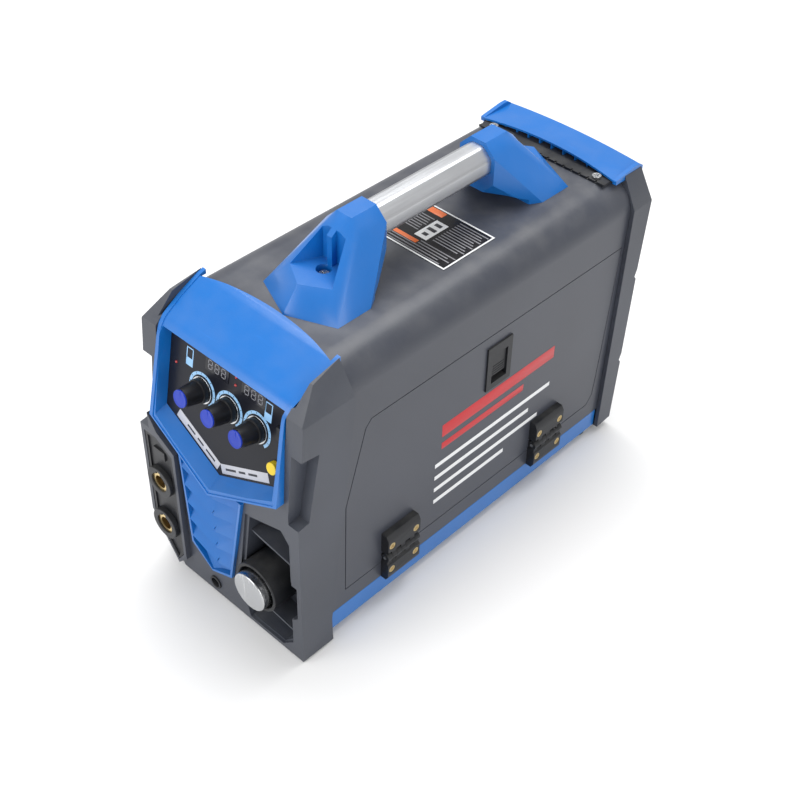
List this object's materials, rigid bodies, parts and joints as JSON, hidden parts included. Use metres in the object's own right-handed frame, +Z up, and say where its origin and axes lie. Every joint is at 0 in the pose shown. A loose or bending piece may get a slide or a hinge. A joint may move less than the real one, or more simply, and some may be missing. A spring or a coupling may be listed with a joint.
{
  "type": "mig welding machine",
  "caption": "Portable wire-feed welding inverter with a sheet cover, moulded end frames, carry handle, leaning control panel, side door over the wire feeder, sockets and rear fan.",
  "frame": {"origin": "middle of the footprint, on the floor under the rubber feet", "axes": "+Y from the control panel to the rear, +X towards the hinged door, +Z up"},
  "size_m": [0.212, 0.4995, 0.3875],
  "materials": {
    "slate_sheet": "satin",
    "dark_frame": "satin moulded",
    "blue_plastic": "semi-gloss moulded",
    "blue_paint": "semi-gloss paint",
    "black_plastic": "matt moulded",
    "panel_film": "satin film",
    "display_lens": "gloss",
    "knob_plastic": "matt with blue cap",
    "yellow_button": "gloss",
    "red_rocker": "gloss",
    "satin_aluminium": "brushed, anodised",
    "bright_steel": "bright zinc plated",
    "brass": "machined",
    "label_film": "printed film",
    "zinc_sheet": "zinc plated sheet",
    "heat_sink_aluminium": "raw extruded",
    "circuit_board": "soldered board",
    "copper_winding": "enamelled copper",
    "wire_copper": "copper coated wire",
    "motor_case": "satin",
    "rubber": "matt"
  },
  "bodies": {
    "cabinet": {"base_tray": "blue_paint", "shell_cover": "slate_sheet", "front_frame": "dark_frame", "rear_frame": "dark_frame", "front_bezel": "blue_plastic", "front_grille": "blue_plastic", "control_fascia": "panel_film", "display_windows": "display_lens", "knob_collars": "bright_steel", "socket_panel": "black_plastic", "socket_rings": "black_plastic", "socket_sleeves": "brass", "torch_flange": "black_plastic", "torch_connector": "brass", "torch_cap": "bright_steel", "control_socket": "black_plastic", "handle_tube": "satin_aluminium", "handle_foot_front": "blue_plastic", "handle_foot_rear": "blue_plastic", "top_screws": "bright_steel", "hinge_leaves_body": "black_plastic", "hinge_pins": "bright_steel", "hinge_screws_body": "brass", "label_plate": "label_film", "rear_cap": "blue_plastic", "vent_strip": "black_plastic", "rear_panel": "dark_frame", "fan_guard": "bright_steel", "fan_frame": "black_plastic", "cable_gland": "black_plastic", "gas_inlet": "brass", "partition_plate": "zinc_sheet", "heat_sinks": "heat_sink_aluminium", "inverter_board": "circuit_board", "transformer": "copper_winding", "control_board": "circuit_board", "feeder_plate": "zinc_sheet", "feed_motor": "motor_case", "wire_guides": "brass", "rubber_feet": "rubber"},
    "knob_left": {"knob_left": "knob_plastic"},
    "knob_middle": {"knob_middle": "knob_plastic"},
    "knob_right": {"knob_right": "knob_plastic"},
    "test_button": {"test_button": "yellow_button"},
    "mode_switch": {"mode_switch": "black_plastic"},
    "door": {"door": "slate_sheet", "latch_frame": "black_plastic", "hinge_leaves_door": "black_plastic", "hinge_screws_door": "brass"},
    "latch_paddle": {"latch_paddle": "black_plastic"},
    "power_switch": {"power_switch": "red_rocker"},
    "fan_rotor": {"fan_rotor": "black_plastic"},
    "spool": {"spool": "black_plastic", "wire_coil": "wire_copper", "spool_hub": "black_plastic", "spool_nut": "black_plastic"},
    "drive_roll": {"drive_roll": "bright_steel"},
    "pressure_arm": {"pressure_arm": "motor_case"},
    "pressure_roll": {"pressure_roll": "bright_steel"},
    "tension_knob": {"tension_knob": "black_plastic"}
  },
  "joints": [
    {"name": "knob_left_turn", "type": "hinge", "parent": "cabinet", "child": "knob_left", "pos_m": [-0.032, -0.2195, 0.249], "axis": [0, -0.9816, 0.1908], "range_deg": [-140, 140]},
    {"name": "knob_middle_turn", "type": "hinge", "parent": "cabinet", "child": "knob_middle", "pos_m": [0.004, -0.2195, 0.249], "axis": [0, -0.9816, 0.1908], "range_deg": [-140, 140]},
    {"name": "knob_right_turn", "type": "hinge", "parent": "cabinet", "child": "knob_right", "pos_m": [0.04, -0.2195, 0.249], "axis": [0, -0.9816, 0.1908], "range_deg": [-140, 140]},
    {"name": "test_button_press", "type": "slide", "parent": "cabinet", "child": "test_button", "axis": [0, 0.9816, -0.1908], "range_m": [0, 0.0015], "stiffness_N_per_m": 400},
    {"name": "mode_switch_rock", "type": "hinge", "parent": "cabinet", "child": "mode_switch", "pos_m": [0.068, -0.21525, 0.2604], "axis": [1, 0, 0], "range_deg": [-7, 7]},
    {"name": "door_swing", "type": "hinge", "parent": "cabinet", "child": "door", "pos_m": [0.1036, 0, 0.0615], "axis": [0, 1, 0], "range_deg": [0, 105]},
    {"name": "latch_push", "type": "hinge", "parent": "door", "child": "latch_paddle", "pos_m": [0.0969, 0.03, 0.2218], "axis": [0, 1, 0], "range_deg": [0, 10], "stiffness_Nm_per_rad": 0.2},
    {"name": "power_switch_rock", "type": "hinge", "parent": "cabinet", "child": "power_switch", "pos_m": [0.052, 0.2285, 0.262], "axis": [1, 0, 0], "range_deg": [-7, 7]},
    {"name": "fan_spin", "type": "hinge", "parent": "cabinet", "child": "fan_rotor", "pos_m": [-0.042, 0.216, 0.176], "axis": [0, 1, 0], "continuous": true},
    {"name": "spool_spin", "type": "hinge", "parent": "cabinet", "child": "spool", "pos_m": [0.054, 0.104, 0.15], "axis": [1, 0, 0], "continuous": true},
    {"name": "drive_roll_spin", "type": "hinge", "parent": "cabinet", "child": "drive_roll", "pos_m": [0.048, -0.084, 0.05265], "axis": [1, 0, 0], "continuous": true},
    {"name": "pressure_arm_lift", "type": "hinge", "parent": "cabinet", "child": "pressure_arm", "pos_m": [0.059, -0.13, 0.092], "axis": [1, 0, 0], "range_deg": [0, 1.5]},
    {"name": "pressure_roll_spin", "type": "hinge", "parent": "pressure_arm", "child": "pressure_roll", "pos_m": [0.048, -0.084, 0.08335], "axis": [1, 0, 0], "continuous": true},
    {"name": "tension_knob_turn", "type": "hinge", "parent": "cabinet", "child": "tension_knob", "pos_m": [0.061, -0.042, 0.1], "axis": [0, 0, 1], "range_deg": [-180, 180]}
  ],
  "couplings": [
    {"joint": "pressure_roll_spin", "follows": "drive_roll_spin", "ratio": -1}
  ]
}
